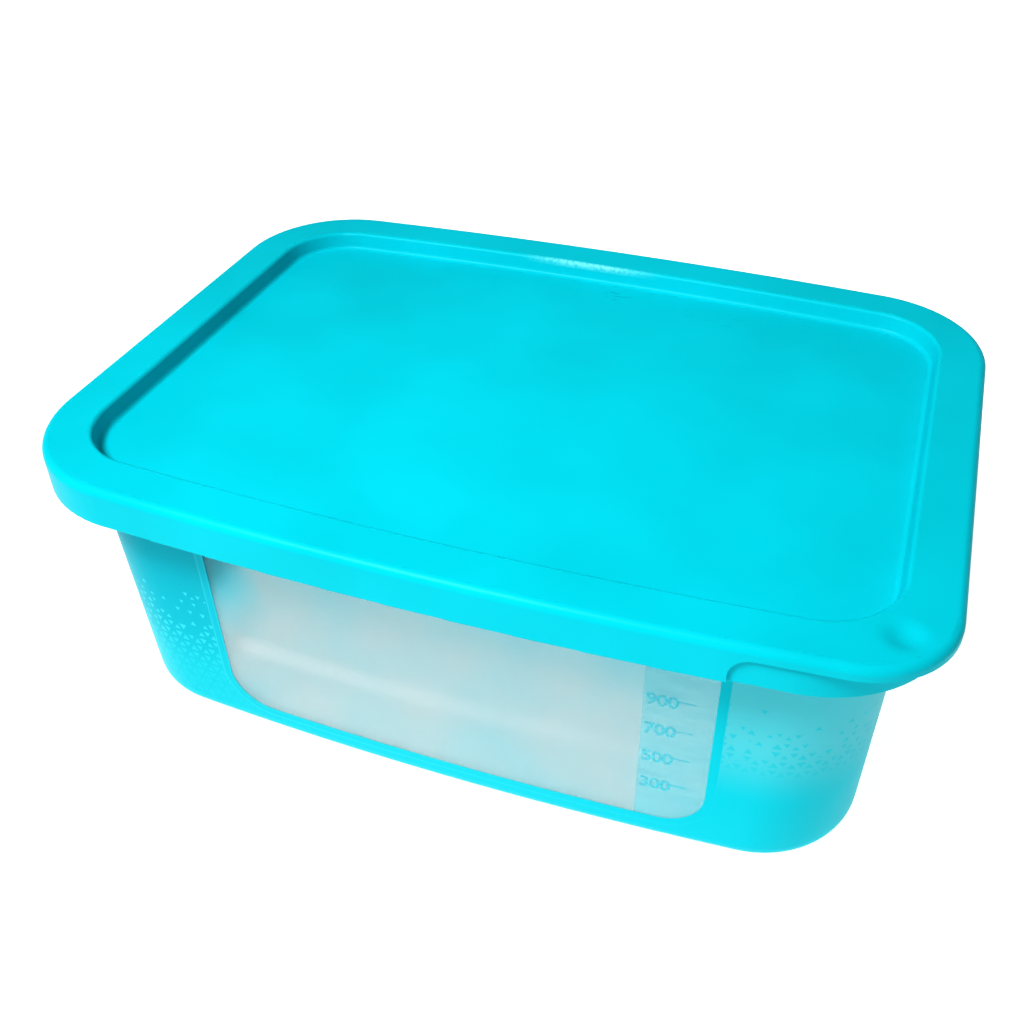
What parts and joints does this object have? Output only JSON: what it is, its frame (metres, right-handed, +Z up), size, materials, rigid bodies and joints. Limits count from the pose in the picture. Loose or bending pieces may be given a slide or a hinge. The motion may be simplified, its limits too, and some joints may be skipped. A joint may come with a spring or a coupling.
{
  "type": "freezer container",
  "caption": "Low rectangular food tub with bowed long sides and a press-on lid with a sunk panel and a lifting tab at one corner.",
  "frame": {"origin": "middle of the foot, on the surface the container stands on", "axes": "+X along the long sides, to the right; +Y from the front, which carries the scale, to the back; +Z up"},
  "size_m": [0.202, 0.148, 0.0755],
  "materials": {
    "lid": "turquoise polyethylene, satin from the mould",
    "tub": "milky see-through polypropylene with a turquoise film moulded into its outside"
  },
  "bodies": {
    "root": {"lid": "lid", "tub": "tub"}
  },
  "joints": []
}
